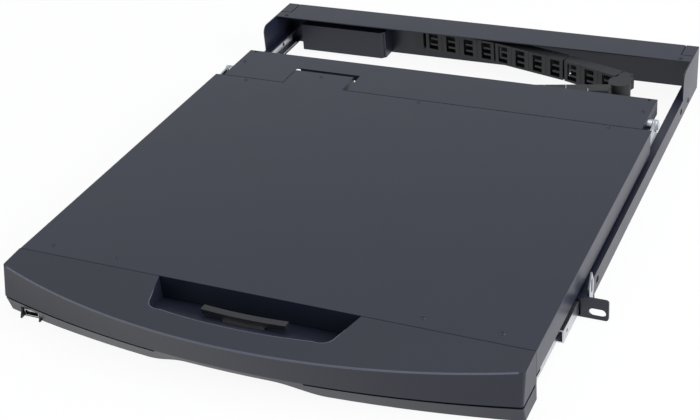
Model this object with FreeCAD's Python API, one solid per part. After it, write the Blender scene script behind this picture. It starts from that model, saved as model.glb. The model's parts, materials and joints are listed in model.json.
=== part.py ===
import FreeCAD, Part
import math
import os

from FreeCAD import Vector

os.makedirs("parts", exist_ok=True)

# Rackmount LCD console drawer, one rack unit tall, lid shut, drawer pulled part-way out.
# Millimetres. +X to the right, +Y to the back of the rack, +Z up.
# Origin: midway between the slots of the two rack ears, on the ears' front face.

# ---------------------------------------------------------------- rack frame
unit_height = 43.8            # height of the whole unit, one rack unit less its play
panel_width = 482.6           # over the two ears, 19 inch rack
slot_in = 8.75                # ear slot's middle from the end of the ear; 465.1 across the rack
ear_reach = 19.7              # ears stand out from rails and side plates
slot_up = 6.0                 # ear slot above the underside
slot_length = 13.5
slot_width = 7.2
ear_height = 18.3
ear_plate = 2.0
ear_leg = 26.0                # leg of the ear along the rail
ear_corner = 2.4
frame_depth = 400.7           # front face of the ears to the back of the rear wall
sheet = 1.2                   # folded sheet of the frame and of the lid
rail_height = 17.2
rail_web = 2.0
rail_flange = 8.0
rail_skin = 1.5

# ---------------------------------------------------------------- slides
slide_sheet = 1.0
slide_play = 0.4              # running gap between slide members
slide_room = 13.6             # pan wall to rail, for the three slide members
outer_lip = 5.6               # width of the fixed member over its lips
mid_lip = 5.6
inner_width = 7.3             # moving member, from the pan wall outwards
pulled_out = 103.7            # how far the drawer stands out of the rack here
closed_gap = 0.3              # bezel to ear when pushed home
open_more = 240.0             # further travel to the front
slide_front = 9.0             # front end of the slide members behind the ear, drawer shut
slide_back = 7.0              # rear end of the fixed members before the rear wall

# ---------------------------------------------------------------- rear box
cover_depth = 35.1
cover_sheet = 1.0
cover_step = 1.4              # top cover stands above the lid by this much
side_depth = 64.7             # side plates, front edge to back
side_round = 8.0
side_chamfer_y = 26.0
tab_width = 12.0              # side plate tabs folded over the cover's rear corners
tab_depth = 21.5
seam = 1.0                    # gap line between neighbouring sheets
module_in = 24.6              # module from the outer face of the frame
module_width = 96.0
module_depth = 23.5
module_low = 3.0              # above the underside
module_height = 29.0
module_bevel = 5.0

# ---------------------------------------------------------------- lid and display
lid_inset = 3.7               # lid's sides inside the frame's outer faces
lid_depth = 329.7             # bezel seam to the lid's rear edge
lid_height = 20.9
lid_seam = 0.5
lid_back_inset = 3.7          # rear wall stands in from the rear edge, for the swing
lid_edge = 0.9                # rounding along the lid's sides
tongue_left = -142.7          # cable tongue on the lid's rear edge
tongue_width = 62.7
tongue_reach = 28.3
tongue_cheek = 13.4
slot_behind = 4.5             # slot behind the tongue
slot_beside = 5.0             # slot at the tongue's right
display_width = 358.5
display_depth = 296.5
display_thick = 9.0
view_width = 338.0
view_depth = 270.4
view_from_seam = 29.0         # lid's front edge to the visible picture
mask_sheet = 2.5
mask_inset = 0.1              # mask face above the lid's lower edge

# ---------------------------------------------------------------- lid hinge
hinge_back = 22.8             # axis behind the lid's rear edge
hinge_drop = 7.2              # axis below the lid's top
knuckle_r = 5.5
pin_r = 2.0
pin_play = 0.05
bracket_plate = 1.8
bracket_reach = 16.0          # bracket either side of the axis
leaf_length = 74.0
leaf_height = 12.0
leaf_down = 3.4               # leaf below the lid's top

# ---------------------------------------------------------------- rear cover plate
plate_inset = 12.6            # plate's ends inside the frame's outer faces
plate_depth = 58.0
plate_gap = 0.8
plate_sheet = 1.0
plate_flange = 15.0
plate_lip = 3.0               # lip folded down along the back edge
slot_lip = 6.0                # lip folded down behind the tongue's slot

# ---------------------------------------------------------------- keyboard pan
pan_sheet = 1.5
pan_lift = 0.5                # pan underside above the rails' underside
pan_height = 20.0
pan_back = 2.3                # pan's rear wall behind the lid's rear edge
arm_height = 17.0
arm_reach = 56.0              # side walls run on behind the pan as arms

# ---------------------------------------------------------------- front bezel
bezel_mid = 63.0              # depth at the middle, top crease
bezel_end = 24.0              # depth at the ends, top crease
groove_mid = 57.5             # the same two at the groove
groove_end = 30.0
foot_mid = 48.5               # and at the underside
foot_end = 25.5
bezel_corner = 1.8
bezel_fall = 3.0              # top falls this much from the seam to the crease
bezel_wall = 2.5
groove_up = 15.9              # groove above the underside
groove_height = 2.3
groove_deep = 3.0
groove_from = 62.0            # groove starts this far from the middle
scoop_half = 35.0             # flat middle of the arch under the bezel
scoop_run = 41.0              # each slope of the arch
scoop_height = 10.6

# ---------------------------------------------------------------- finger pocket and latch
pocket_half = 86.0
pocket_mouth = 78.0
pocket_side = 27.0
pocket_corner = 10.0
pocket_front = 41.0
pocket_deep = 20.0
pocket_wall = 2.2
latch_half = 35.5
latch_from_seam = 20.0
latch_thick = 6.0
latch_drop = 3.4              # top of the latch bar below the lid's top
latch_travel = 3.0
latch_stem_half = 18.0
latch_stem = 4.0

# ---------------------------------------------------------------- USB pod
usb_in = 25.4                 # middle of the port from the lid's side
usb_width = 13.1
usb_height = 5.6
usb_deep = 16.0
usb_wall = 1.6
pod_cheek = 1.5
pod_gap = 0.4

# ---------------------------------------------------------------- keyboard, touch pad
deck_play = 0.3
deck_sheet = 2.0
deck_up = 10.0                # deck top above the pan's floor
palm_depth = 78.0
key_margin = 7.8              # keys from the pan's deck edge, both sides
key_columns = 22              # widest row in key pitches
key_gap = 2.0
key_foot = 5.6                # underside of the caps above the base
key_height = 7.0
key_shrink = 1.4              # taper of a cap on each side
key_travel = 2.3
key_stem = 5.0
key_stem_play = 0.4
key_rows = 6
row_break = 5.0               # wider gap behind the function row and beside the blocks
base_thick = 5.2
pad_width = 74.0
pad_depth = 48.0
pad_button_depth = 11.0
pad_play = 0.3
pad_thick = 1.6

# ---------------------------------------------------------------- cable carrier
elbow_room = 51.8             # last pivot of the rear run to the right rail
rear_links = (4, 4, 3)     # links in each section of the rear run
drawer_links = (5, 5)      # and of the drawer's run, from the elbow on
link_height = 22.0
link_thick = 13.0
link_wall = 1.8
link_gap = 0.3
window_wide = 10.6
window_tall = 17.4
link_lean = 10.5              # link ends fall back from their pivot by this many degrees
anchor_lean = 22.0            # the same, at the end of the rear anchor
carrier_up = 15.6             # links above the underside
carrier_clear = 44.4          # first pivot of the rear run, from the module
carrier_back = 9.6            # middle of the rear run before the rear wall, at its pivot
carrier_apart = 13.0          # elbow pivot beside the middle of each run
elbow_past = 9.0              # elbow pivot past the last link
elbow_r = 10.4
rear_turns = (8.0, 7.0, 5.0)     # turns between the rear run's sections, degrees
drawer_turns = (15.7, -2.2)       # slope at the elbow, then turns towards the drawer
tail_reach = 20.0             # last link to the middle of the tail eye
tail_r = 7.0
tail_height = 8.0
tail_play = 0.4
fork_sheet = 2.0
fork_left = 12.0              # fork plates left and right of the eye, and behind it
fork_right = 5.0
fork_behind = 20.0

# ---------------------------------------------------------------- small fasteners
screw_r = 2.2
screw_head = 0.9
screw_sunk = 0.35
screw_left = 24.9             # lid's front screws from its sides, and their spacing
screw_right = 28.4
screw_apart = 60.5
screw_front = 12.0            # the same from the lid's front edge
screw_rear = 36.5             # rear screws from the lid's sides
screw_edge = 3.7              # rear screws from the lid's rear edge
plate_screw_in = 6.5          # rear plate's screws from its ends and its front edge
plate_screw_back = 32.5
slide_screws = (30.0, 150.0, 300.0)   # behind the seam, pan wall to moving slide
pad_r = 4.0                   # rubber pads under the lid
pad_in = 17.9
pad_end = 9.0

# ================================================================ derived places
frame_half = panel_width / 2 - ear_reach      # outer face of rails and side plates
slot_half = panel_width / 2 - slot_in
lid_half = frame_half - lid_inset
plate_half = frame_half - plate_inset
rail_in = frame_half - rail_web
pan_half = rail_in - slide_room
module_left = -frame_half + module_in
usb_middle = -lid_half + usb_in
key_pitch = 2 * (pan_half - pan_sheet - deck_play - key_margin - row_break) / key_columns
carrier_left = module_left + module_width + carrier_clear
link_pitch = (rail_in - elbow_room - carrier_left) / sum(rear_links)
base_z = -slot_up
top_z = base_z + unit_height
back_y = frame_depth
wall_y = back_y - sheet
lid_top = top_z - cover_step
lid_low = lid_top - lid_height
seam_y = -(pulled_out + closed_gap)
lid_front = seam_y + lid_seam
lid_back = seam_y + lid_depth
hinge_y = lid_back + hinge_back
hinge_z = lid_top - hinge_drop
plate_front = lid_back + plate_gap
plate_back = plate_front + plate_depth
pan_low = base_z + pan_lift
pan_floor = pan_low + pan_sheet
pan_top = pan_low + pan_height
pan_rear = lid_back + pan_back
box_front = back_y - cover_depth
side_front = back_y - side_depth
deck_top = pan_floor + deck_up
palm_back = seam_y + pan_sheet + palm_depth
base_top = pan_floor + base_thick
run_y = wall_y - carrier_back
carrier_z = base_z + carrier_up


# ================================================================ small helpers
def block(x0, x1, y0, y1, z0, z1):
    """A box between two corners."""
    low = Vector(min(x0, x1), min(y0, y1), min(z0, z1))
    return Part.makeBox(abs(x1 - x0), abs(y1 - y0), abs(z1 - z0), low)


def rod(start, direction, radius, length):
    """A round bar from a point along a direction."""
    return Part.makeCylinder(radius, length, Vector(*start), Vector(*direction))


def plate_yz(points, x0, x1):
    """A flat plate: an outline in Y and Z, carried from x0 to x1."""
    corners = [Vector(x0, y, z) for y, z in points]
    face = Part.Face(Part.makePolygon(corners + corners[:1]))
    return face.extrude(Vector(x1 - x0, 0, 0))


def prism_xy(points, z0, z1):
    """A prism: a polygon in X and Y, carried from z0 to z1."""
    corners = [Vector(x, y, z0) for x, y in points]
    face = Part.Face(Part.makePolygon(corners + corners[:1]))
    return face.extrude(Vector(0, 0, z1 - z0))


def oblong_y(x, z, length, width, y0, y1):
    """An upright slot with round ends, long in X, cut along Y."""
    half = (length - width) / 2
    body = block(x - half, x + half, y0, y1, z - width / 2, z + width / 2)
    for side in (-1, 1):
        body = body.fuse(rod((x + side * half, y0, z), (0, 1, 0), width / 2, y1 - y0))
    return body.removeSplitter()


def rounded_y(x0, x1, y0, y1, z0, z1, radius):
    """A plate facing Y with rounded corners."""
    body = block(x0, x1, y0, y1, z0, z1)
    upright = [e for e in body.Edges if abs(e.Vertexes[0].X - e.Vertexes[1].X) < 1e-6
               and abs(e.Vertexes[0].Z - e.Vertexes[1].Z) < 1e-6]
    return body.makeFillet(radius, upright)


def flip(shape):
    """The same piece on the other side of the middle plane."""
    return shape.mirror(Vector(0, 0, 0), Vector(1, 0, 0))


def taper(width0, depth0, width1, depth1, x, y, z0, z1):
    """A four-sided frustum between two rectangles over one centre."""
    wires = []
    for width, depth, z in ((width0, depth0, z0), (width1, depth1, z1)):
        a, b = width / 2, depth / 2
        ring = [Vector(x - a, y - b, z), Vector(x + a, y - b, z),
                Vector(x + a, y + b, z), Vector(x - a, y + b, z)]
        wires.append(Part.makePolygon(ring + ring[:1]))
    return Part.makeLoft(wires, True, True)


def save(name, *shapes):
    """Write one node: every solid of the given shapes, each on its own."""
    solids = [solid for shape in shapes for solid in shape.Solids]
    Part.makeCompound(solids).exportStep("parts/" + name + ".step")


def save_pair(name, shape):
    """Write a right-hand piece and its mirrored left-hand one."""
    save(name + "_right", shape)
    save(name + "_left", flip(shape))


def screw_up(x, y, z):
    """A countersunk screw head lying just above a face that looks up."""
    head = rod((x, y, z), (0, 0, 1), screw_r, screw_head - screw_sunk)
    cross = block(x - screw_r * 0.6, x + screw_r * 0.6, y - 0.35, y + 0.35, z + 0.2, z + screw_head)
    cross = cross.fuse(block(x - 0.35, x + 0.35, y - screw_r * 0.6, y + screw_r * 0.6,
                             z + 0.2, z + screw_head))
    return head.cut(cross)


# ================================================================ rack frame
def side_outline():
    """Side plate of the rear box: rounded top-front, bevelled bottom-front corner."""
    points = [(back_y, base_z), (back_y, top_z), (side_front + side_round, top_z)]
    for step in range(1, 7):
        turn = math.radians(90 + 15 * step)
        points.append((side_front + side_round + side_round * math.cos(turn),
                       top_z - side_round + side_round * math.sin(turn)))
    points.append((side_front, base_z + rail_height))
    points.append((side_front + side_chamfer_y, base_z))
    return points


def side_plate():
    """Right side plate with the tab folded over the cover's rear corner."""
    inner = frame_half - sheet
    plate = plate_yz(side_outline(), inner, frame_half)
    tab = block(frame_half - tab_width, frame_half, back_y - tab_depth, back_y,
                top_z - cover_sheet, top_z)
    return plate.fuse(tab).removeSplitter()


def rail():
    """Right rail: a channel open to the inside, its rear end let into the side plate."""
    z0, z1 = base_z, base_z + rail_height
    body = block(rail_in, frame_half, ear_plate, wall_y, z0, z1)
    for low, high in ((z0, z0 + rail_skin), (z1 - rail_skin, z1)):
        body = body.fuse(block(frame_half - rail_flange, frame_half, ear_plate, wall_y, low, high))
    body = body.cut(plate_yz(side_outline(), frame_half - sheet, frame_half + 1))
    for y in (40.0, side_front - 6.0):
        window = oblong_y(0, 0, 7.0, 5.6, -1, rail_web + 1)
        window.rotate(Vector(0, 0, 0), Vector(0, 0, 1), -90)
        window.translate(Vector(rail_in, y, (z0 + z1) / 2))
        body = body.cut(window)
    return body.removeSplitter()


def ear():
    """Right rack ear: slotted plate facing the front, with a leg screwed along the rail."""
    outer = panel_width / 2
    z0, z1 = base_z, base_z + ear_height
    plate = rounded_y(frame_half, outer, 0, ear_plate, z0, z1, ear_corner)
    root = block(frame_half, frame_half + ear_corner, 0, ear_plate, z0, z1)
    leg = block(frame_half, frame_half + 1.5, 0, ear_leg, z0, z0 + rail_height)
    foot = block(frame_half - rail_flange, frame_half + 1.5, 0, ear_plate, z0, z0 + rail_height)
    opening = block(frame_half - rail_flange - 1, rail_in, -1, ear_plate + 1,
                    z0 + rail_skin, z0 + rail_height - rail_skin)
    slot = oblong_y(slot_half, 0, slot_length, slot_width, -1, ear_plate + 1)
    return plate.fuse([root, leg, foot]).cut(opening).cut(slot).removeSplitter()


def lever():
    """Right quick-release lever: an upright pointed spring-steel blade with a slot."""
    x0 = frame_half + 1.5 + 0.4
    low = base_z + 2.0
    outline = [(7.0, low), (15.0, low), (16.5, low + 7.0), (18.5, low + 20.0), (13.0, low + 31.5),
               (6.2, low + 20.5), (6.2, low + 7.0)]
    blade = plate_yz(outline, x0, x0 + 1.2)
    blade = blade.cut(block(x0 - 1, x0 + 3, 11.0, 14.0, low + 14.0, low + 25.5))
    pivot = rod((frame_half + 1.6, 11.0, low + 4.0), (1, 0, 0), 1.8, 0.5)
    return blade.fuse(pivot).removeSplitter()


def frame_screws():
    """Screws of the frame: ear legs, cover corners, rail ends."""
    heads = []
    for side in (-1, 1):
        for y in (4.0, 21.5):
            start = (side * (frame_half + 1.5), y, base_z + 4.6)
            heads.append(rod(start, (side, 0, 0), 1.9, 1.1))
        start = (side * frame_half, side_front + side_chamfer_y - 2.0, base_z + 6.0)
        heads.append(rod(start, (side, 0, 0), 2.4, 0.8))
        heads.append(screw_up(side * (frame_half - 11.0), box_front + 5.0, top_z))
        for y in (30.0, back_y - 30.0):
            start = (side * (rail_in - slide_sheet), y, base_z + rail_height / 2)
            heads.append(rod(start, (-side, 0, 0), 2.0, slide_play * 0.5))
    return heads


def top_cover():
    """Top cover of the rear box, notched where the side plate tabs lie."""
    half = frame_half - sheet
    cover = block(-half, half, box_front, wall_y, top_z - cover_sheet, top_z)
    for side in (-1, 1):
        cover = cover.cut(block(side * (frame_half - tab_width - seam), side * (half + 1),
                                back_y - tab_depth - seam, back_y + 1, top_z - 5, top_z + 5))
    return cover


def rear_wall():
    """Rear wall with the opening behind the converter module and a cable outlet."""
    half = frame_half - sheet
    wall = block(-half, half, wall_y, back_y, base_z, top_z - cover_sheet)
    crest = block(-(frame_half - tab_width - seam), frame_half - tab_width - seam,
                  wall_y, back_y, top_z - cover_sheet, top_z)
    ports = block(module_left + 8, module_left + module_width - 8, wall_y - 1, back_y + 1,
                  base_z + module_low + 5, base_z + module_low + module_height - 5)
    return wall.fuse(crest).cut(ports).removeSplitter()


def module_box():
    """Converter module: a hood on the rear wall, its lower right corner bevelled."""
    x0, x1 = module_left, module_left + module_width
    y0, z0 = wall_y - module_depth, base_z + module_low
    z1 = z0 + module_height
    outer = block(x0, x1, y0, wall_y, z0, z1)
    inner = block(x0 + sheet, x1 - sheet, y0 + sheet, wall_y + 1, z0 + sheet, z1 - sheet)
    hood = outer.cut(inner)
    bevel = prism_xy([(x1 - module_bevel, y0 - 1), (x1 + 1, y0 - 1), (x1 + 1, y0 + module_bevel)],
                     z0 - 1, z1 + 1)
    web = prism_xy([(x1 - module_bevel - sheet, y0 + sheet / 2), (x1 - module_bevel, y0),
                    (x1, y0 + module_bevel), (x1 - sheet / 2, y0 + module_bevel + sheet)], z0, z1)
    return hood.cut(bevel).fuse(web).removeSplitter()


def port_pieces():
    """Ports behind the module: a board plate, a D connector, a square port and a round jack."""
    x0, x1 = module_left + 8.3, module_left + module_width - 8.3
    z0, z1 = base_z + module_low + 5.3, base_z + module_low + module_height - 5.3
    y0 = wall_y - 1.6
    middle = (z0 + z1) / 2
    board = block(x0, x1, y0, wall_y + 0.2, z0, z1)
    x_d, x_b, x_j = x0 + 22.0, x0 + 50.0, x0 + 68.0
    reach = back_y - 0.2
    shell = block(x_d - 12.5, x_d + 12.5, y0, reach, middle - 4.6, middle + 4.6)
    shell = shell.cut(block(x_d - 11.5, x_d + 11.5, y0 + 1.4, reach + 1, middle - 3.6, middle + 3.6))
    square = block(x_b - 6.2, x_b + 6.2, y0, reach, middle - 5.4, middle + 5.4)
    square = square.cut(block(x_b - 4.3, x_b + 4.3, y0 + 1.4, reach + 1, middle - 3.9, middle + 3.9))
    jack = rod((x_j, y0, middle), (0, 1, 0), 4.6, reach - y0)
    jack = jack.cut(rod((x_j, y0 + 1.4, middle), (0, 1, 0), 2.9, reach))
    return board.fuse([shell, square, jack]).removeSplitter()


# ================================================================ slides
def channel(x_web, width, sheet_thick, z0, z1, y0, y1):
    """A slide member: web at x_web (its outer face), lips running inwards."""
    body = block(x_web - sheet_thick, x_web, y0, y1, z0, z1)
    for low, high in ((z0, z0 + sheet_thick), (z1 - sheet_thick, z1)):
        body = body.fuse(block(x_web - width, x_web, y0, y1, low, high))
    return body.removeSplitter()


def slide_members():
    """Right slide: fixed, middle and moving member, nested with a running gap."""
    z0, z1 = base_z + rail_skin, base_z + rail_height - rail_skin
    end = wall_y - slide_back
    fixed = channel(rail_in, outer_lip, slide_sheet, z0, z1, slide_front, end)
    nest = slide_sheet + slide_play
    home = pulled_out / 2
    middle = channel(rail_in - nest, mid_lip, slide_sheet, z0 + nest, z1 - nest,
                     slide_front + 3.0 - home, end - 8.0 - home)
    for y in (slide_front + 12.0, slide_front + 96.0):
        cut = rod((rail_in - nest - 3, y - home, (z0 + z1) / 2), (1, 0, 0), 1.6, 6)
        middle = middle.cut(cut)
    inner_web = pan_half + inner_width
    moving = channel(inner_web, inner_width, slide_sheet, z0 + 2 * nest, z1 - 2 * nest,
                     seam_y + 2.0, plate_back - 8.0)
    for y in (seam_y + 14.0, seam_y + 60.0):
        moving = moving.cut(block(inner_web - 2, inner_web + 1, y, y + 9.0, -1.2 + 2.6, 1.2 + 2.6))
    catch = rod((inner_web, seam_y + 8.0, (z0 + z1) / 2), (1, 0, 0), 2.4, 1.6)
    return fixed, middle, moving.fuse(catch).removeSplitter()


# ================================================================ drawer
def pan():
    """Keyboard pan: a folded tray whose side walls run on as arms under the rear plate."""
    outer = block(-pan_half, pan_half, seam_y, pan_rear, pan_low, pan_top)
    inner = block(-pan_half + pan_sheet, pan_half - pan_sheet, seam_y + pan_sheet,
                  pan_rear - pan_sheet, pan_floor, pan_top + 1)
    body = outer.cut(inner)
    for side in (-1, 1):
        body = body.fuse(block(side * (pan_half - pan_sheet), side * pan_half,
                               pan_rear - 1, pan_rear + arm_reach - 2, pan_low + 3.0,
                               pan_low + 3.0 + arm_height))
    return body.removeSplitter()


def arc_through(a, b, c):
    """A circular edge through three points."""
    return Part.Arc(Vector(*a), Vector(*b), Vector(*c)).toShape()


def bezel_wire(z, middle, end, inset):
    """Plan outline of the bezel at one height: straight back and sides, bowed front.

    The front is the circle through the two corners and the middle; each corner is
    a small arc from the side line to that circle."""
    half = lid_half - inset
    rise = middle - end
    radius = (half * half + rise * rise) / (2 * rise)
    centre = -middle + radius + inset
    corner = bezel_corner

    def front(x):
        return centre - math.sqrt(radius * radius - x * x)

    x_in = half - corner
    y_side = front(half) + corner * 0.95
    y_in = front(x_in)
    lean = corner * (1 - math.sqrt(0.5))
    y_mid = (front(half - lean) + lean * 0.95)
    rear = -inset * 0
    points = {
        "a": (-half, seam_y + rear, z), "b": (half, seam_y + rear, z),
        "c": (half, seam_y + y_side, z), "d": (half - lean, seam_y + y_mid, z),
        "e": (x_in, seam_y + y_in, z), "f": (0, seam_y + front(0), z),
        "g": (-x_in, seam_y + y_in, z), "h": (-half + lean, seam_y + y_mid, z),
        "i": (-half, seam_y + y_side, z),
    }
    edges = [
        Part.makeLine(Vector(*points["a"]), Vector(*points["b"])),
        Part.makeLine(Vector(*points["b"]), Vector(*points["c"])),
        arc_through(points["c"], points["d"], points["e"]),
        arc_through(points["e"], points["f"], points["g"]),
        arc_through(points["g"], points["h"], points["i"]),
        Part.makeLine(Vector(*points["i"]), Vector(*points["a"])),
    ]
    return Part.Wire(edges)


def bezel_form(inset, z_low, z_high):
    """Bezel body between two heights, its front leaning back towards the foot."""
    groove_z = base_z + groove_up
    crease_z = lid_top - bezel_fall

    def at(z):
        if z >= groove_z:
            share = (z - groove_z) / (crease_z - groove_z)
            return (groove_mid + (bezel_mid - groove_mid) * share,
                    groove_end + (bezel_end - groove_end) * share)
        share = (z - base_z) / groove_up
        return foot_mid + (groove_mid - foot_mid) * share, foot_end + (groove_end - foot_end) * share

    heights = [z_low, groove_z, z_high]
    wires = [bezel_wire(z, at(z)[0], at(z)[1], inset) for z in heights]
    return Part.makeLoft(wires, True, True)


def pocket_wire(grow, z):
    """Plan outline of the finger pocket, bowed front and rounded corners."""
    rear = (pocket_half + grow, seam_y + 1 + grow)
    side = (pocket_mouth + grow, seam_y - pocket_side)
    inner = (pocket_mouth - pocket_corner * 1.4 + grow * 0.6, seam_y - pocket_front + 4.5 - grow)
    elbow = (pocket_mouth - pocket_corner * 0.32 + grow * 0.8,
             seam_y - pocket_front + 7.3 - grow * 0.8)
    front = (0, seam_y - pocket_front - grow)
    edges = [
        Part.makeLine(Vector(-rear[0], rear[1], z), Vector(rear[0], rear[1], z)),
        Part.makeLine(Vector(rear[0], rear[1], z), Vector(side[0], side[1], z)),
        arc_through((side[0], side[1], z), (elbow[0], elbow[1], z), (inner[0], inner[1], z)),
        arc_through((inner[0], inner[1], z), (front[0], front[1], z), (-inner[0], inner[1], z)),
        arc_through((-inner[0], inner[1], z), (-elbow[0], elbow[1], z), (-side[0], side[1], z)),
        Part.makeLine(Vector(-side[0], side[1], z), Vector(-rear[0], rear[1], z)),
    ]
    return Part.Wire(edges)


def pocket_floor(y, drop):
    """Height of the pocket's sloping floor at a place y, lowered by drop."""
    share = (seam_y - y) / pocket_front
    return lid_top - pocket_deep + (pocket_deep - bezel_fall) * share - drop


def pocket_solid(grow, drop):
    """The space over the pocket's floor, up past the bezel's top."""
    high = lid_top + 6
    column = Part.Face(pocket_wire(grow, base_z)).extrude(Vector(0, 0, high - base_z))
    y0, y1 = seam_y + 8, seam_y - pocket_front - 12
    over = plate_yz([(y0, pocket_floor(y0, drop)), (y0, high + 1), (y1, high + 1),
                     (y1, pocket_floor(y1, drop))], -pocket_half - 20, pocket_half + 20)
    return column.common(over)


def front_bezel():
    """Front bezel: bowed moulding with pocket, two shadow grooves and an arched foot."""
    deep = bezel_mid + 20
    body = bezel_form(0, base_z, lid_top)
    hollow = bezel_form(bezel_wall, base_z - 1, lid_top)
    slope = [(seam_y + 1, lid_top + bezel_fall / bezel_mid), (seam_y + 1, lid_top + 30),
             (seam_y - deep, lid_top + 30), (seam_y - deep, lid_top - bezel_fall * deep / bezel_mid)]
    top_cut = plate_yz(slope, -lid_half - 5, lid_half + 5)
    under = plate_yz([(y, z - bezel_wall) for y, z in slope], -lid_half - 5, lid_half + 5)
    hollow = hollow.cut(under)
    back_strip = block(-lid_half, lid_half, seam_y - bezel_wall, seam_y, base_z - 2, lid_top)
    hollow = hollow.cut(back_strip)
    end_ribs = [block(side * (groove_from + 70 * n), side * (groove_from + 70 * n + 2),
                      seam_y - deep, seam_y, base_z + groove_up + 3, lid_top)
                for side in (-1, 1) for n in (1, 2)]
    tray = pocket_solid(pocket_wall, pocket_wall)
    for piece in [tray] + end_ribs:
        hollow = hollow.cut(piece)
    body = body.cut(hollow).cut(top_cut).cut(pocket_solid(0, 0))
    groove_z = base_z + groove_up
    ring = bezel_form(-1, base_z, lid_top).cut(bezel_form(groove_deep, base_z - 1, lid_top + 1))
    for side in (-1, 1):
        reach = block(side * groove_from, side * (lid_half + 5), seam_y - deep, seam_y - bezel_wall - 0.6,
                      groove_z - groove_height, groove_z)
        body = body.cut(ring.common(reach))
    steps = 10
    shoulder = [(scoop_half + scoop_run * (1 - n / steps),
                 scoop_height * (1 - math.cos(math.pi * n / steps)) / 2) for n in range(steps + 1)]
    right = [(scoop_half + scoop_run, -1)] + shoulder
    arch = [(-x, z) for x, z in right] + right[::-1]
    corners = [Vector(x, seam_y - deep, base_z + z) for x, z in arch]
    face = Part.Face(Part.makePolygon(corners + corners[:1]))
    body = body.cut(face.extrude(Vector(0, deep - bezel_wall - 4, 0)))
    pod_x0 = usb_middle - usb_width / 2 - usb_wall - pod_cheek - pod_gap
    pod_x1 = usb_middle + usb_width / 2 + usb_wall + pod_cheek + pod_gap
    body = body.cut(block(pod_x0, pod_x1, seam_y - deep, seam_y - bezel_wall,
                          base_z - 1, pan_low + usb_height + 2 * usb_wall + pod_gap))
    body = body.cut(latch_slot(0.5))
    return body.removeSplitter()


def latch_slot(play):
    """Slot in the pocket floor that the latch stem slides in."""
    y1 = seam_y - latch_from_seam - 1.0 + play
    y0 = seam_y - latch_from_seam - 1.0 - latch_stem - latch_travel - play
    return block(-latch_stem_half - play, latch_stem_half + play, y0, y1, base_z, lid_top - 3)


def latch_bar():
    """Latch bar in the pocket: a bowed grip on a flat stem."""
    y1 = seam_y - latch_from_seam
    bow = 1.6
    z1 = lid_top - latch_drop
    low = pocket_floor(y1 - latch_thick - latch_travel, 0) + 0.4
    outline = [
        arc_through((-latch_half, y1 + bow, z1), (0, y1, z1), (latch_half, y1 + bow, z1)),
        Part.makeLine(Vector(latch_half, y1 + bow, z1),
                      Vector(latch_half, y1 + bow - latch_thick, z1)),
        arc_through((latch_half, y1 + bow - latch_thick, z1), (0, y1 - latch_thick, z1),
                    (-latch_half, y1 + bow - latch_thick, z1)),
        Part.makeLine(Vector(-latch_half, y1 + bow - latch_thick, z1),
                      Vector(-latch_half, y1 + bow, z1)),
    ]
    grip = Part.Face(Part.Wire(outline)).extrude(Vector(0, 0, low - z1))
    stem = block(-latch_stem_half, latch_stem_half, y1 - 1.0 - latch_stem, y1 - 1.0,
                 pocket_floor(y1, pocket_wall) - 3.0, z1 - 1.0)
    foot = block(-latch_stem_half - 4, latch_stem_half + 4, y1 - 2.0 - latch_stem, y1,
                 pocket_floor(y1, pocket_wall) - 5.0, pocket_floor(y1, pocket_wall) - 3.0)
    return grip.fuse([stem, foot]).removeSplitter()


def usb_front():
    """Where the bezel's lower lip lies at the port, measured from the seam."""
    rise = foot_mid - foot_end
    return foot_mid - rise * (usb_middle / lid_half) ** 2


def usb_pieces():
    """Port in the lower lip: a dark pod with two cheeks, and the bright port shell."""
    y0 = seam_y - usb_front() - 2.2
    y1 = y0 + usb_deep
    z0 = base_z + pan_lift
    z_in = z0 + usb_wall
    half = usb_width / 2
    pod = block(usb_middle - half - usb_wall, usb_middle + half + usb_wall, y0 + 1.6, y1,
                z0, z_in + usb_height + usb_wall)
    pod = pod.cut(block(usb_middle - half, usb_middle + half, y0 - 5, y1 - 2,
                        z_in, z_in + usb_height))
    cheek = [(y0 - 2.6, z0), (y1 - 4.0, z0), (y1 - 4.0, z_in + usb_height), (y0 + 1.0, z_in + usb_height)]
    for side in (-1, 1):
        x = usb_middle + side * (half + usb_wall)
        pod = pod.fuse(plate_yz(cheek, x, x + side * pod_cheek))
    shell = block(usb_middle - half, usb_middle + half, y0 + 1.0, y1 - 2, z_in, z_in + usb_height)
    wall = 0.5
    shell = shell.cut(block(usb_middle - half + wall, usb_middle + half - wall, y0, y1 - 3,
                            z_in + wall, z_in + usb_height - wall))
    tongue = block(usb_middle - half + 1.4, usb_middle + half - 1.4, y0 + 2.4, y1 - 2.5,
                   z_in + usb_height / 2 + 0.1, z_in + usb_height / 2 + 1.6)
    return pod.removeSplitter(), shell.fuse(tongue).removeSplitter()


def rear_plate():
    """Plate behind the lid: open underneath, flanged at its sides, notched for the tongue."""
    z0, z1 = lid_top - plate_sheet, lid_top
    body = block(-plate_half, plate_half, plate_front, plate_back, z0, z1)
    for side in (-1, 1):
        body = body.fuse(block(side * (plate_half - sheet), side * plate_half,
                               plate_front, plate_back, z1 - plate_flange, z1))
    body = body.fuse(block(-plate_half, plate_half, plate_back - plate_sheet, plate_back,
                           z1 - plate_lip, z1))
    slot_end = tongue_left + tongue_width + slot_beside
    slot_back = lid_back + tongue_reach + slot_behind
    notch = block(tongue_left - plate_gap, slot_end, plate_front - 1, slot_back, z0 - 1, z1 + 1)
    body = body.cut(notch)
    body = body.fuse(block(tongue_left + 3.0, slot_end, slot_back, slot_back + plate_sheet,
                           z1 - slot_lip, z1))
    for side in (-1, 1):
        hole = rod((0, hinge_y, hinge_z), (side, 0, 0), knuckle_r + 0.6, plate_half + 5)
        keep = block(side * (plate_half - 4), side * (plate_half + 4), hinge_y - 20, hinge_y + 20,
                     z1 - plate_flange - 1, z0)
        body = body.cut(hole.common(keep))
        x = plate_half - 7.0
        body = body.cut(rod((side * x, plate_back - 2.5, z0 - 1), (0, 0, 1), 1.5, 5))
    return body.removeSplitter()


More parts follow.
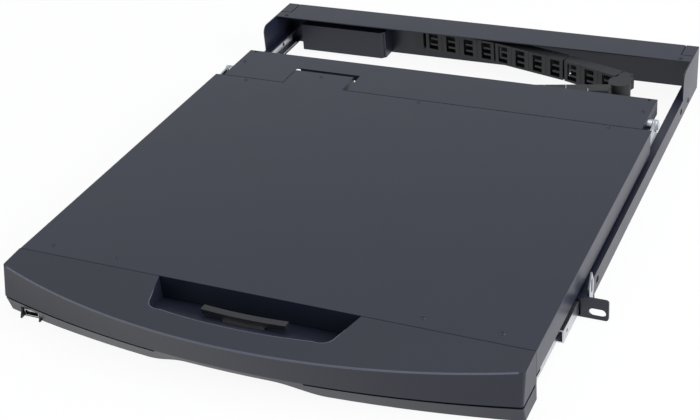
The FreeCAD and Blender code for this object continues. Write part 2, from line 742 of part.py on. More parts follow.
def hinge_bracket():
    """Right hinge bracket: a plate between pan arm and rear plate, with its knuckle."""
    x0 = pan_half
    x1 = pan_half + bracket_plate
    low = base_z + rail_height - rail_skin - slide_play
    plate = plate_yz([(hinge_y - bracket_reach, low), (hinge_y + bracket_reach, low),
                      (hinge_y + bracket_reach, lid_top - plate_sheet - 0.2),
                      (hinge_y - bracket_reach, lid_top - plate_sheet - 0.2)], x0, x1)
    knuckle = rod((x0, hinge_y, hinge_z), (1, 0, 0), knuckle_r, 7.5)
    body = plate.fuse(knuckle)
    return body.cut(rod((x0 - 1, hinge_y, hinge_z), (1, 0, 0), pin_r + pin_play, 20)).removeSplitter()


def hinge_leaf():
    """Right hinge leaf: lies inside the lid's side wall and ends in a knuckle."""
    x1 = lid_half - sheet
    x0 = x1 - bracket_plate
    z1 = lid_top - leaf_down
    z0 = z1 - leaf_height
    tail = lid_back - leaf_length
    plate = plate_yz([(tail, z0 + 1), (tail, z1), (lid_back, z1), (hinge_y, hinge_z + knuckle_r),
                      (hinge_y, hinge_z - knuckle_r), (lid_back - 14, z0)], x0, x1)
    knuckle = rod((x0 - 0.8, hinge_y, hinge_z), (1, 0, 0), knuckle_r, bracket_plate + 2.0)
    body = plate.fuse(knuckle)
    return body.cut(rod((x0 - 5, hinge_y, hinge_z), (1, 0, 0), pin_r + pin_play, 20)).removeSplitter()


def hinge_pin():
    """Right hinge pin with its head outside the leaf."""
    head_x = lid_half + 0.1
    pin = rod((pan_half + 0.4, hinge_y, hinge_z), (1, 0, 0), pin_r, head_x - pan_half)
    return pin.fuse(rod((head_x, hinge_y, hinge_z), (1, 0, 0), pin_r + 1.4, 0.9)).removeSplitter()


# ================================================================ deck, keys, touch pad
def deck(y0, y1):
    """A moulded deck part with skirts down to the pan's floor."""
    half = pan_half - pan_sheet - deck_play
    outer = block(-half, half, y0, y1, pan_floor, deck_top)
    inner = block(-half + deck_sheet, half - deck_sheet, y0 + deck_sheet, y1 - deck_sheet,
                  pan_floor - 1, deck_top - deck_sheet)
    return outer.cut(inner)


pad_front_y = seam_y + pan_sheet + deck_play + 9.0
pad_y0 = pad_front_y + pad_button_depth + pad_play * 2


def pad_openings():
    """Openings for the touch pad and its two buttons."""
    half = pad_width / 2 + pad_play
    return [block(-half, half, pad_front_y - pad_play, pad_y0 + pad_depth + pad_play,
                  pan_floor, deck_top + 1)]


def touch_pad():
    """Touch pad on a post that stands on the pan's floor."""
    plate = block(-pad_width / 2, pad_width / 2, pad_y0, pad_y0 + pad_depth,
                  deck_top - pad_thick - 0.6, deck_top - 0.6)
    post = block(-pad_width / 2 + 8, pad_width / 2 - 8, pad_y0 + 8, pad_y0 + pad_depth - 8,
                 pan_floor, deck_top - pad_thick - 0.6)
    return plate.fuse(post).removeSplitter()


def pad_button(side):
    """Left or right touch pad button, free to dip a little."""
    return block(side * pad_play / 2, side * pad_width / 2, pad_front_y,
                 pad_front_y + pad_button_depth, deck_top - 3.2, deck_top + 0.2)


def key_layout():
    """Every key as (block, column, row, width in pitches), rows counted from the front."""
    keys = []
    main_rows = {
        0: [1.25, 1.25, 1.25, 6.25, 1.25, 1.25, 1.25, 1.25],
        1: [2.25] + [1] * 10 + [2.75],
        2: [1.75] + [1] * 11 + [2.25],
        3: [1.5] + [1] * 12 + [1.5],
        4: [1] * 13 + [2],
        5: [1.25] * 12,
    }
    for row, widths in main_rows.items():
        column = 0.0
        for width in widths:
            spot = "space" if width > 6 else ("letters" if row in (1, 2, 3) else
                                              "front" if row == 0 else "upper")
            keys.append((spot, column, row, width))
            column += width
    for row, columns in {0: (0, 1, 2), 1: (1,), 3: (0, 1, 2), 4: (0, 1, 2), 5: (0, 1, 2)}.items():
        for column in columns:
            keys.append(("cursor", 15.0 + column, row, 1))
    for row in range(5):
        for column in range(4 if row else 3):
            keys.append(("number", 18.0 + column, row, 1))
    return keys


def key_place(spot, column, row, width):
    """Middle of a key cap in X and Y, and its width in X."""
    field = key_columns * key_pitch + 2 * row_break
    x = -field / 2 + column * key_pitch + width * key_pitch / 2
    if spot in ("cursor", "number"):
        x += row_break
    if spot == "number":
        x += row_break
    y = palm_back + deck_play + 5.0 + (row + 0.5) * key_pitch
    if row == key_rows - 1:
        y += row_break
    return x, y, width * key_pitch - key_gap


def key_cap(place):
    """A tapered key cap on a stem that dips into the keyboard base."""
    x, y, width = place
    depth = key_pitch - key_gap
    z0 = base_top + key_foot - 3.1
    cap = taper(width, depth, width - 2 * key_shrink, depth - 2 * key_shrink, x, y,
                z0, z0 + key_height)
    stem = block(x - key_stem / 2, x + key_stem / 2, y - key_stem / 2, y + key_stem / 2,
                 base_top - 1.6, z0)
    return cap.fuse(stem).removeSplitter()


keyboard_front = palm_back + deck_play
keyboard_back = keyboard_front + 10.0 + key_rows * key_pitch + row_break


def keyboard_base():
    """Keyboard base: a plate with a rim and a guide hole under every cap."""
    half = pan_half - pan_sheet - deck_play
    body = block(-half, half, keyboard_front, keyboard_back, pan_floor, deck_top)
    field = 11 * key_pitch + row_break + 1.5
    body = body.cut(block(-field, field, keyboard_front + 3.5, keyboard_back - 3.5,
                          base_top, deck_top + 1))
    side = key_stem / 2 + key_stem_play
    holes = []
    for key in key_layout():
        x, y, _ = key_place(*key)
        holes.append(block(x - side, x + side, y - side, y + side, pan_floor - 1, base_top + 1))
    return body.cut(Part.makeCompound(holes))


# ================================================================ lid
def lid_shell():
    """Lid: a folded sheet tray facing down, with the cable tongue at its back."""
    outer = block(-lid_half, lid_half, lid_front, lid_back, lid_low, lid_top)
    long_edges = [e for e in outer.Edges if abs(e.Vertexes[0].Y - e.Vertexes[1].Y) > 1
                  and e.Vertexes[0].Z > lid_top - 1]
    outer = outer.makeFillet(lid_edge, long_edges)
    inner_half = lid_half - sheet
    wall = lid_back - lid_back_inset
    body = outer.cut(block(-inner_half, inner_half, lid_front + sheet, wall - sheet,
                           lid_low - 1, lid_top - sheet))
    body = body.cut(block(-lid_half - 1, lid_half + 1, wall, lid_back + 1, lid_low - 1, lid_top - sheet))
    for side in (-1, 1):
        body = body.cut(block(side * (inner_half - bracket_plate - 0.6), side * inner_half,
                              wall - sheet - 1, wall + 1, lid_low - 1, lid_top - sheet))
    x0, x1 = tongue_left, tongue_left + tongue_width
    end = lid_back + tongue_reach
    tongue = block(x0, x1, lid_back - 1, end, lid_top - sheet, lid_top)
    for x in (x0, x1 - sheet):
        tongue = tongue.fuse(plate_yz([(wall - 0.5, lid_top - tongue_cheek), (wall - 0.5, lid_top),
                                       (end, lid_top), (end, lid_top - tongue_cheek * 0.6)],
                                      x, x + sheet))
    return body.fuse(tongue).removeSplitter()


view_y0 = lid_front + view_from_seam
view_middle = view_y0 + view_depth / 2
mask_low = lid_low + mask_inset
mask_back = lid_back - lid_back_inset - sheet - 0.3
osd_y = view_middle + display_depth / 2 + 5.0
osd_x = [96.0 + 14.0 * n for n in range(5)]


def display_mask():
    """Display mask: a frame with a bevelled window, and holes for the buttons."""
    half = lid_half - sheet - 0.3
    body = block(-half, half, lid_front + sheet + 0.3, mask_back, mask_low, mask_low + mask_sheet)
    window = taper(view_width + 6, view_depth + 6, view_width + 1, view_depth + 1,
                   0, view_middle, mask_low - 0.01, mask_low + mask_sheet + 0.01)
    body = body.cut(window)
    for x in osd_x:
        body = body.cut(block(x - 5.3, x + 5.3, osd_y - 2.8, osd_y + 2.8, mask_low - 1,
                              mask_low + mask_sheet + 1))
    return body


def display_panel():
    """Display panel: glass and metal-backed cell resting on the mask."""
    z0 = mask_low + mask_sheet
    return block(-display_width / 2, display_width / 2, view_middle - display_depth / 2,
                 view_middle + display_depth / 2, z0, z0 + display_thick)


def osd_button(x):
    """One display button: a rounded cap with a flange behind the mask."""
    cap = block(x - 5.0, x + 5.0, osd_y - 2.5, osd_y + 2.5, mask_low - 0.5, mask_low + mask_sheet)
    flange = block(x - 6.2, x + 6.2, osd_y - 2.9, osd_y + 2.9, mask_low + mask_sheet + 0.2,
                   mask_low + mask_sheet + 1.4)
    neck = block(x - 5.0, x + 5.0, osd_y - 2.5, osd_y + 2.5, mask_low + mask_sheet - 0.1,
                 mask_low + mask_sheet + 0.3)
    return cap.fuse([flange, neck]).removeSplitter()


def lid_screws():
    """Screws in the lid: four along the front edge, four at the back."""
    left, right = -lid_half, lid_half
    front = (left + screw_left, left + screw_left + screw_apart, right - screw_right - screw_apart,
             right - screw_right)
    heads = [screw_up(x, lid_front + screw_front, lid_top) for x in front]
    rear = (left + screw_rear, 0.5, right - screw_rear)
    heads += [screw_up(x, lid_back - screw_edge, lid_top) for x in rear]
    heads.append(screw_up(tongue_left + tongue_width / 2, lid_back + tongue_reach - 2 * screw_edge, lid_top))
    return heads


def drawer_screws():
    """Screws in the rear plate, and the ones that hold the slides to the pan."""
    x = plate_half - plate_screw_in
    heads = [screw_up(side * x, plate_front + plate_screw_back, lid_top) for side in (-1, 1)]
    for side in (-1, 1):
        for behind in slide_screws:
            start = (side * (pan_half - pan_sheet), seam_y + behind, base_z + rail_height / 2)
            heads.append(rod(start, (-side, 0, 0), 2.2, deck_play * 0.8))
    return heads


def lid_pads():
    """Rubber pads on the mask that meet the pan's deck when the lid is shut."""
    pads = []
    for side in (-1, 1):
        for y in (lid_front + pad_end, mask_back - pad_end):
            pads.append(rod((side * (lid_half - pad_in), y, deck_top + 0.3), (0, 0, 1), pad_r,
                            mask_low - deck_top - 0.3))
    return pads


# ================================================================ cable carrier
def lean_cut(x, way, degrees):
    """Wedges that take the corners off a link end, leaving its middle at the pivot."""
    half = link_thick / 2 + 1
    back = half * math.tan(math.radians(degrees))
    z0, z1 = carrier_z - 1, carrier_z + link_height + 1
    wedges = [prism_xy([(x, 0), (x - way * back, side * half), (x + way * 5, side * half),
                        (x + way * 5, 0)], z0, z1) for side in (-1, 1)]
    return Part.makeCompound(wedges)


def carrier_link(x, first, last):
    """One link along +X: a hollow frame with an E-shaped window in its front face."""
    x0, x1 = x + link_gap / 2, x + link_pitch - link_gap / 2
    z0, z1 = carrier_z, carrier_z + link_height
    half = link_thick / 2
    body = block(x0, x1, -half, half, z0, z1)
    body = body.cut(block(x0 - 1, x1 + 1, -half + link_wall, half - link_wall,
                          z0 + link_wall, z1 - link_wall))
    middle = (x0 + x1) / 2
    window = block(middle - window_wide / 2, middle + window_wide / 2, -half - 1, -half + 3,
                   z0 + (link_height - window_tall) / 2, z1 - (link_height - window_tall) / 2)
    tabs = []
    for level in (-1, 1):
        z = (z0 + z1) / 2 + level * window_tall * 0.19
        tabs.append(block(middle - window_wide / 2 + 2.6, middle + window_wide / 2 + 1,
                          -half - 1, half + 1, z - 1.1, z + 1.1))
    body = body.cut(window.cut(Part.makeCompound(tabs)))
    if first:
        body = body.cut(lean_cut(x0, -1, link_lean))
    if last:
        body = body.cut(lean_cut(x1, 1, link_lean))
    return body


def turned(shapes, place, heading):
    """Shapes drawn along +X from the origin, turned to a heading and put in place."""
    moved = []
    for shape in shapes:
        copy = shape.copy()
        copy.rotate(Vector(0, 0, 0), Vector(0, 0, 1), heading)
        copy.translate(Vector(place[0], place[1], 0))
        moved.append(copy)
    return moved


def elbow_end(links, side, low, high):
    """End of a run: an arm beyond its last link with a disc of the elbow joint."""
    run_end = links * link_pitch
    x = run_end + elbow_past
    y = side * carrier_apart
    disc = rod((x, y, low), (0, 0, 1), elbow_r, high - low)
    start = run_end + link_gap / 2
    arm = block(start, x + 2, -link_thick / 2, link_thick / 2, low, high)
    arm = arm.cut(lean_cut(start, -1, link_lean))
    neck = block(x - elbow_r * 0.7, x + elbow_r * 0.7, min(0, y), max(0, y), low, high)
    neck = neck.common(block(start + 1, x + elbow_r, -40, 40, low, high))
    return arm.fuse([disc, neck]).removeSplitter()


def tail_eye():
    """Flat eye at the drawer's end of the carrier, held loosely in the anchor's fork."""
    middle = carrier_z + link_height / 2
    low, high = middle - tail_height / 2, middle + tail_height / 2
    disc = rod((-tail_reach, 0, low), (0, 0, 1), tail_r, high - low)
    arm = block(-tail_reach, -link_gap / 2, -link_thick / 2 + 1, link_thick / 2 - 1, low, high)
    plug = block(-4.0, -link_gap / 2, -link_thick / 2, link_thick / 2, carrier_z,
                 carrier_z + link_height)
    return disc.fuse([arm, plug]).cut(lean_cut(-link_gap / 2, 1, link_lean)).removeSplitter()


def step(place, heading, along, aside=0.0):
    """A place reached by going along a heading and to its left."""
    turn = math.radians(heading)
    return (place[0] + along * math.cos(turn) - aside * math.sin(turn),
            place[1] + along * math.sin(turn) + aside * math.cos(turn))


def rear_run():
    """Rear run: pivot place and heading of each section, then the elbow pivot."""
    place, heading, found = (carrier_left, run_y), 0.0, []
    for links, turn in zip(rear_links, rear_turns):
        heading -= turn
        found.append((place, heading))
        place = step(place, heading, links * link_pitch)
    return found, step(place, heading, elbow_past, -carrier_apart)


def drawer_run():
    """Drawer's run, from the elbow on: start and heading of each section, then the tail eye."""
    _, place = rear_run()
    heading, found = 0.0, []
    for links, turn in zip(drawer_links, drawer_turns):
        heading += turn
        if not found:
            place = step(place, heading, -elbow_past, -carrier_apart)
        place = step(place, heading, -links * link_pitch)
        found.append((place, heading))
    return found, step(place, heading, -tail_reach)


def carrier_section(count, place, heading, extra):
    """The links of one section with its end piece, if it has one."""
    links = [carrier_link(link_pitch * n, n == 0, n == count - 1) for n in range(count)]
    return turned(links + extra, place, heading)


def rear_anchor():
    """Bracket that holds the first pivot of the rear run on the rear wall."""
    half = link_thick / 2
    x1 = carrier_left - link_gap / 2
    z0, z1 = carrier_z, carrier_z + link_height
    clip = block(x1 - 12.0, x1, run_y - half, wall_y, z0, z1)
    clip = clip.cut(block(x1 - 10.0, x1 + 1, run_y - half + link_wall, run_y + half - link_wall,
                          z0 + link_wall, z1 - link_wall))
    wedge = lean_cut(0, 1, anchor_lean)
    wedge.translate(Vector(x1, run_y, 0))
    return clip.cut(wedge)


def drawer_anchor():
    """Fork behind the pan: two plates that hold the carrier's tail eye with play."""
    _, eye = drawer_run()
    middle = carrier_z + link_height / 2
    inner = tail_height / 2 + tail_play
    x0, x1 = eye[0] - fork_left, eye[0] + fork_right
    far = eye[1] + fork_behind
    outer = block(x0, x1, pan_rear, far, middle - inner - fork_sheet, middle + inner + fork_sheet)
    gap = block(x0 - 1, x1 + 1, pan_rear + fork_sheet, far + 1, middle - inner, middle + inner)
    foot = block(x0, x1, pan_rear, pan_rear + fork_sheet, pan_low + 4, middle)
    return outer.cut(gap).fuse(foot).removeSplitter()


# ================================================================ write every node
save_pair("rail", rail())
save_pair("ear", ear())
save_pair("lever", lever())
save_pair("side_plate", side_plate())
save("frame_screws", *frame_screws())
save("top_cover", top_cover())
save("rear_wall", rear_wall())
save("module_box", module_box())
save("port_block", port_pieces())

fixed, middle_member, moving = slide_members()
save_pair("slide_fixed", fixed)
save_pair("slide_middle", middle_member)
save_pair("slide_moving", moving)

save("keyboard_pan", pan())
save("front_bezel", front_bezel())
save("latch_bar", latch_bar())
pod, port_shell = usb_pieces()
save("usb_pod", pod)
save("usb_shell", port_shell)
save("rear_plate", rear_plate())
save_pair("hinge_bracket", hinge_bracket())
save("drawer_screws", *drawer_screws())

palm = deck(seam_y + pan_sheet + deck_play, palm_back)
for opening in pad_openings():
    palm = palm.cut(opening)
save("palm_rest", palm)
save("rear_deck", deck(keyboard_back + deck_play, pan_rear - pan_sheet - deck_play))
save("touch_pad", touch_pad())
save("pad_button_left", pad_button(-1))
save("pad_button_right", pad_button(1))
save("keyboard_base", keyboard_base())
caps = {}
for key in key_layout():
    caps.setdefault(key[0], []).append(key_cap(key_place(*key)))
for spot, shapes in caps.items():
    save("keys_" + spot, *shapes)

save("lid_shell", lid_shell())
save("display_mask", display_mask())
save("display_panel", display_panel())
save("osd_power", osd_button(osd_x[-1]))
save("osd_menu", *[osd_button(x) for x in osd_x[:-1]])
save_pair("hinge_leaf", hinge_leaf())
save("hinge_pins", hinge_pin(), flip(hinge_pin()))
save("lid_screws", *lid_screws())
save("lid_pads", *lid_pads())

middle_z = carrier_z + link_height / 2
run, elbow = rear_run()
for number, (place, heading) in enumerate(run, start=1):
    count, extra = rear_links[number - 1], []
    if number == len(run):
        extra = [elbow_end(count, -1, middle_z + link_gap, carrier_z + link_height)]
    save("carrier_rear_" + str(number), *carrier_section(count, place, heading, extra))
run, eye = drawer_run()
for number, (place, heading) in enumerate(run, start=1):
    count, extra = drawer_links[number - 1], []
    if number == 1:
        extra = [elbow_end(count, 1, carrier_z, middle_z - link_gap)]
    if number == len(run):
        extra.append(tail_eye())
    save("carrier_drawer_" + str(number), *carrier_section(count, place, heading, extra))
save("anchor_rear", rear_anchor())
save("anchor_drawer", drawer_anchor())
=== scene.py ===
"""Looks for a rackmount display drawer: keyboard drawer with a display lid, pulled part-way out of its frame."""
import json
import math

import bpy
import numpy as np
from mathutils import Matrix, Vector

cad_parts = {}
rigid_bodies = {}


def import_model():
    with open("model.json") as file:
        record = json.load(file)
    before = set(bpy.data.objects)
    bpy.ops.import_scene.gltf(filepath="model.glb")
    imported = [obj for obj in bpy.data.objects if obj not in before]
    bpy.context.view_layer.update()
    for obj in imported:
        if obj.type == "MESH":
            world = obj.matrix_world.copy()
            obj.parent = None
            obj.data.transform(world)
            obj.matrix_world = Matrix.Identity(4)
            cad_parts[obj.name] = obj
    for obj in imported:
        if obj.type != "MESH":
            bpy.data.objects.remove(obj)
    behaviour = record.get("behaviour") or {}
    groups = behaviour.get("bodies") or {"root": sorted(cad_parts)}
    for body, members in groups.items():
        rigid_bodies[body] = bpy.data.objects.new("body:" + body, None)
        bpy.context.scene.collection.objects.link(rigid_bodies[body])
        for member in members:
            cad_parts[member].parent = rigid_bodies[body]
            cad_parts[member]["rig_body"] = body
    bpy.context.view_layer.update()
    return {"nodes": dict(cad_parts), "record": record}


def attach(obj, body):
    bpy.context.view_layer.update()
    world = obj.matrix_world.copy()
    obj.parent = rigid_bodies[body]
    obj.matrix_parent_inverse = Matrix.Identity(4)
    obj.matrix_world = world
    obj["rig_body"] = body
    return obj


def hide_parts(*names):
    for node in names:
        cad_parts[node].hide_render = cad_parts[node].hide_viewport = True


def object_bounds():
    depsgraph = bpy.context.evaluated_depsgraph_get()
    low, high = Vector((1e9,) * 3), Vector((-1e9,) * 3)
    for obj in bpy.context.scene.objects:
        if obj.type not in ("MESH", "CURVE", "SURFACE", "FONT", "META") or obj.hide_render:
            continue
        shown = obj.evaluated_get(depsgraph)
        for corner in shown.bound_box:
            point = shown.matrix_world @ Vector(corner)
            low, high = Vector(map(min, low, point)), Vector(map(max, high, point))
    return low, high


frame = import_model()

MM = 0.001
nodes = frame["nodes"]


# ------------------------------------------------------------------ colour and node helpers
def ink(code):
    """sRGB hex colour as linear RGBA."""
    part = [int(code[i:i + 2], 16) / 255 for i in (1, 3, 5)]
    return [c / 12.92 if c <= 0.04045 else ((c + 0.055) / 1.055) ** 2.4 for c in part] + [1.0]


def add(tree, kind, settings=None, **links):
    """Adds a node. Settings are attributes; links go to sockets by name, a value or another node's output."""
    node = tree.nodes.new("ShaderNode" + kind)
    for name, value in (settings or {}).items():
        setattr(node, name, value)
    for name, value in links.items():
        socket = next(s for s in node.inputs if s.enabled and s.name.replace(" ", "_") == name)
        if isinstance(value, bpy.types.NodeSocket):
            tree.links.new(value, socket)
        else:
            socket.default_value = value
    return node


def start(name):
    """An empty material with its output node and object coordinates in metres."""
    made = bpy.data.materials.new(name)
    made.use_nodes = True
    tree = made.node_tree
    tree.nodes.clear()
    out = add(tree, "OutputMaterial")
    place = add(tree, "TexCoord").outputs["Object"]
    return made, tree, out, place


def ramp(tree, value, low, high, low_out, high_out):
    """A value mapped from one range to another and held at the ends."""
    return add(tree, "MapRange", Value=value, From_Min=low, From_Max=high,
               To_Min=low_out, To_Max=high_out).outputs["Result"]


def powder_coat(name, code, rough):
    """Satin powder coat on folded steel: baked droplets leave a fine orange peel, a touch duller in patches."""
    made, tree, out, place = start(name)
    peel = add(tree, "TexNoise", Vector=place, Scale=1 / (1.1 * MM), Detail=2.0, Roughness=0.5)
    patch = add(tree, "TexNoise", Vector=place, Scale=1 / (45 * MM), Detail=3.0)
    tone = add(tree, "MixRGB", Fac=ramp(tree, patch.outputs["Fac"], 0.3, 0.7, 0.0, 1.0),
               Color1=ink(code), Color2=[c * 1.12 for c in ink(code)[:3]] + [1.0])
    bump = add(tree, "Bump", Height=peel.outputs["Fac"], Strength=0.10, Distance=0.05 * MM)
    skin = add(tree, "BsdfPrincipled", Base_Color=tone.outputs["Color"],
               Roughness=ramp(tree, patch.outputs["Fac"], 0.3, 0.7, rough - 0.02, rough + 0.03),
               Normal=bump.outputs["Normal"], IOR=1.5)
    tree.links.new(skin.outputs["BSDF"], out.inputs["Surface"])
    return made


def moulded_plastic(name, code, rough, grain_mm=0.7, depth=0.06):
    """Moulded plastic: the tool's spark-eroded grain gives a fine, even, matt texture."""
    made, tree, out, place = start(name)
    grain = add(tree, "TexVoronoi", {"feature": "F1"}, Vector=place, Scale=1 / (grain_mm * MM))
    cloud = add(tree, "TexNoise", Vector=place, Scale=1 / (60 * MM), Detail=2.0)
    tone = add(tree, "MixRGB", Fac=ramp(tree, cloud.outputs["Fac"], 0.3, 0.7, 0.0, 1.0),
               Color1=ink(code), Color2=[c * 1.10 for c in ink(code)[:3]] + [1.0])
    bump = add(tree, "Bump", Height=grain.outputs["Distance"], Strength=0.18, Distance=depth * MM)
    skin = add(tree, "BsdfPrincipled", Base_Color=tone.outputs["Color"],
               Roughness=ramp(tree, cloud.outputs["Fac"], 0.3, 0.7, rough - 0.02, rough + 0.03),
               Normal=bump.outputs["Normal"], IOR=1.49)
    tree.links.new(skin.outputs["BSDF"], out.inputs["Surface"])
    return made


def zinc_plate(name, code, rough, streak_mm=0.5):
    """Zinc-plated rolled steel: bright, with faint rolling streaks along Y and soft cloudy patches."""
    made, tree, out, place = start(name)
    turned = add(tree, "Mapping", Vector=place, Scale=(1.0, 0.04, 1.0))
    streak = add(tree, "TexNoise", Vector=turned.outputs["Vector"], Scale=1 / (streak_mm * MM), Detail=2.0)
    cloud = add(tree, "TexNoise", Vector=place, Scale=1 / (9 * MM), Detail=3.0)
    tone = add(tree, "MixRGB", Fac=ramp(tree, cloud.outputs["Fac"], 0.3, 0.7, 0.0, 1.0),
               Color1=ink(code), Color2=[c * 0.82 for c in ink(code)[:3]] + [1.0])
    bump = add(tree, "Bump", Height=streak.outputs["Fac"], Strength=0.08, Distance=0.03 * MM)
    skin = add(tree, "BsdfPrincipled", Base_Color=tone.outputs["Color"], Metallic=1.0,
               Roughness=ramp(tree, streak.outputs["Fac"], 0.3, 0.7, rough - 0.06, rough + 0.08),
               Normal=bump.outputs["Normal"])
    tree.links.new(skin.outputs["BSDF"], out.inputs["Surface"])
    return made


def soft_rubber(name, code):
    """Moulded rubber foot: dull, very fine pores."""
    made, tree, out, place = start(name)
    pores = add(tree, "TexNoise", Vector=place, Scale=1 / (0.6 * MM), Detail=2.0)
    bump = add(tree, "Bump", Height=pores.outputs["Fac"], Strength=0.2, Distance=0.05 * MM)
    skin = add(tree, "BsdfPrincipled", Base_Color=ink(code), Normal=bump.outputs["Normal"],
               Roughness=ramp(tree, pores.outputs["Fac"], 0.3, 0.7, 0.7, 0.85))
    tree.links.new(skin.outputs["BSDF"], out.inputs["Surface"])
    return made


def screen_glass(name, code):
    """Anti-glare display glass: etched so finely that it only softens what it mirrors."""
    made, tree, out, place = start(name)
    etch = add(tree, "TexNoise", Vector=place, Scale=1 / (0.5 * MM), Detail=1.0)
    bump = add(tree, "Bump", Height=etch.outputs["Fac"], Strength=0.03, Distance=0.01 * MM)
    skin = add(tree, "BsdfPrincipled", Base_Color=ink(code), Normal=bump.outputs["Normal"], IOR=1.5,
               Roughness=ramp(tree, etch.outputs["Fac"], 0.3, 0.7, 0.16, 0.22))
    tree.links.new(skin.outputs["BSDF"], out.inputs["Surface"])
    return made


coat = powder_coat("powder_coat_satin", "#171B2A", 0.36)
bezel_abs = moulded_plastic("abs_fine_grain", "#181B29", 0.40)
black_nylon = moulded_plastic("nylon_glass_filled", "#17191C", 0.48, 0.9, 0.08)
black_abs = moulded_plastic("abs_black_spark_grain", "#141519", 0.45)
key_abs = moulded_plastic("abs_key_satin", "#17181B", 0.38, 0.5, 0.04)
zinc = zinc_plate("steel_zinc_plated", "#C9CCD2", 0.32)
nickel = zinc_plate("steel_nickel_plated", "#D2D3D4", 0.24, 0.3)
black_zinc = zinc_plate("steel_black_zinc", "#3A3C42", 0.38, 0.4)
rubber = soft_rubber("rubber_moulded", "#101011")
glass = screen_glass("glass_anti_glare", "#08090C")

by_slot = {"painted_steel": coat, "bare_steel": zinc, "screws": black_zinc, "bezel_plastic": bezel_abs,
           "black_plastic": black_abs, "key_plastic": key_abs, "port_metal": nickel, "screen": glass,
           "pad_rubber": rubber}
for row in frame["record"]["subparts"]:
    cad = nodes[row["node"]]
    cad.data.materials.clear()
    chosen = by_slot[row["material_slot"]]
    if row["node"].startswith("carrier_"):
        chosen = black_nylon
    cad.data.materials.append(chosen)

# ------------------------------------------------------------------ floor, light, camera
low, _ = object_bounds()


def surface(name, points, faces, skin, smooth=True):
    """A mesh object from points in metres and faces, with its material."""
    mesh = bpy.data.meshes.new(name)
    mesh.from_pydata([tuple(p) for p in points], [], [tuple(int(i) for i in f) for f in faces])
    mesh.polygons.foreach_set("use_smooth", [smooth] * len(mesh.polygons))
    mesh.materials.append(skin)
    mesh.update()
    made = bpy.data.objects.new(name, mesh)
    bpy.context.scene.collection.objects.link(made)
    return made


PAPER_GLOW = 0.92            # share of its own white that the paper shows to the camera and in reflections


def backdrop_skin():
    """Matt white studio paper: shows as white to the camera, and still takes the object's shadow."""
    made, tree, out, place = start("paper_studio_white")
    path = add(tree, "LightPath")
    paper = add(tree, "BsdfDiffuse", Color=ink("#F4F4F4"))
    glow = add(tree, "Emission", Color=(1, 1, 1, 1), Strength=1.0)
    seen = add(tree, "Math", {"operation": "MAXIMUM"})
    tree.links.new(path.outputs["Is Camera Ray"], seen.inputs[0])
    tree.links.new(path.outputs["Is Glossy Ray"], seen.inputs[1])
    share = add(tree, "Math", {"operation": "MULTIPLY"})
    tree.links.new(seen.outputs[0], share.inputs[0])
    share.inputs[1].default_value = PAPER_GLOW
    mix = add(tree, "MixShader")
    tree.links.new(share.outputs[0], mix.inputs[0])
    tree.links.new(paper.outputs[0], mix.inputs[1])
    tree.links.new(glow.outputs[0], mix.inputs[2])
    tree.links.new(mix.outputs[0], out.inputs["Surface"])
    return made


# ------------------------------------------------------------------ screw heads
HEAD_ROUND = 48              # steps round a head
HEAD_RINGS = 14
HEAD_REACH = 6 * MM          # points closer than this belong to one head
RECESS_LONG = 0.62           # cross recess: reach of each arm, as a share of the head's radius
RECESS_HALF = 0.17           # and half its width
RECESS_DEEP = 0.85           # and its depth, as a share of the head's height
RECESS_WALL = 0.1            # its walls slope over this share of the radius


def heads_of(cad):
    """Low and high corner of each screw head in a CAD node: points less than 6 mm apart are one head."""
    points = np.empty(len(cad.data.vertices) * 3)
    cad.data.vertices.foreach_get("co", points)
    groups = []
    for point in points.reshape(-1, 3):
        near = [g for g in groups if np.linalg.norm(g[0] - point) < HEAD_REACH]
        if near:
            near[0].append(point)
        else:
            groups.append([point])
    return [(np.min(g, axis=0), np.max(g, axis=0)) for g in groups]


def screw_head(low_corner, high_corner):
    """Low domed head with a cross recess.

    In a disc of rings, the height is one less the sixth power of the share of the radius. Inside the cross of two
    arms it drops by the recess's depth, and the walls of the arms slope over a tenth of the radius.
    """
    size, middle = high_corner - low_corner, (low_corner + high_corner) / 2
    axis = int(np.argmin(size))
    tall, radius = size[axis], max(size) / 2
    out = 1.0 if axis == 2 or middle[axis] > 0 else -1.0
    share, turn = np.meshgrid(np.linspace(0, 1, HEAD_RINGS + 1)[1:],
                              np.linspace(0, 2 * math.pi, HEAD_ROUND, endpoint=False), indexing="ij")
    u = np.append(0.0, (share * np.cos(turn)).ravel())
    v = np.append(0.0, (share * np.sin(turn)).ravel())
    dome = 1 - np.append(0.0, share.ravel()) ** 6
    arm = np.minimum(np.maximum(abs(u) - RECESS_LONG, abs(v) - RECESS_HALF),
                     np.maximum(abs(v) - RECESS_LONG, abs(u) - RECESS_HALF)) * -1
    rise = dome * (1 - RECESS_DEEP * np.clip(arm / RECESS_WALL, 0, 1)) * tall
    flat = [n for n in range(3) if n != axis]
    points = np.zeros((len(u), 3))
    points[:, flat[0]], points[:, flat[1]] = middle[flat[0]] + u * radius, middle[flat[1]] + v * radius
    base = low_corner[axis] if out > 0 else high_corner[axis]
    points[:, axis] = base + out * rise
    faces = [(0, 1 + n, 1 + (n + 1) % HEAD_ROUND) for n in range(HEAD_ROUND)]
    for ring in range(HEAD_RINGS - 1):
        start_in, start_out = 1 + ring * HEAD_ROUND, 1 + (ring + 1) * HEAD_ROUND
        faces += [(start_in + n, start_out + n, start_out + (n + 1) % HEAD_ROUND,
                   start_in + (n + 1) % HEAD_ROUND) for n in range(HEAD_ROUND)]
    if (out < 0) != (axis == 1):
        faces = [face[::-1] for face in faces]
    return points, faces


def dressed_heads(node, skin):
    """All the screw heads of one CAD node as one mesh."""
    points, faces = [], []
    for corners in heads_of(nodes[node]):
        more, ring = screw_head(*corners)
        faces += [tuple(n + len(points) for n in face) for face in ring]
        points += list(more)
    made = surface(node + "_cross", points, faces, skin)
    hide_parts(node)
    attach(made, nodes[node]["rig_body"])


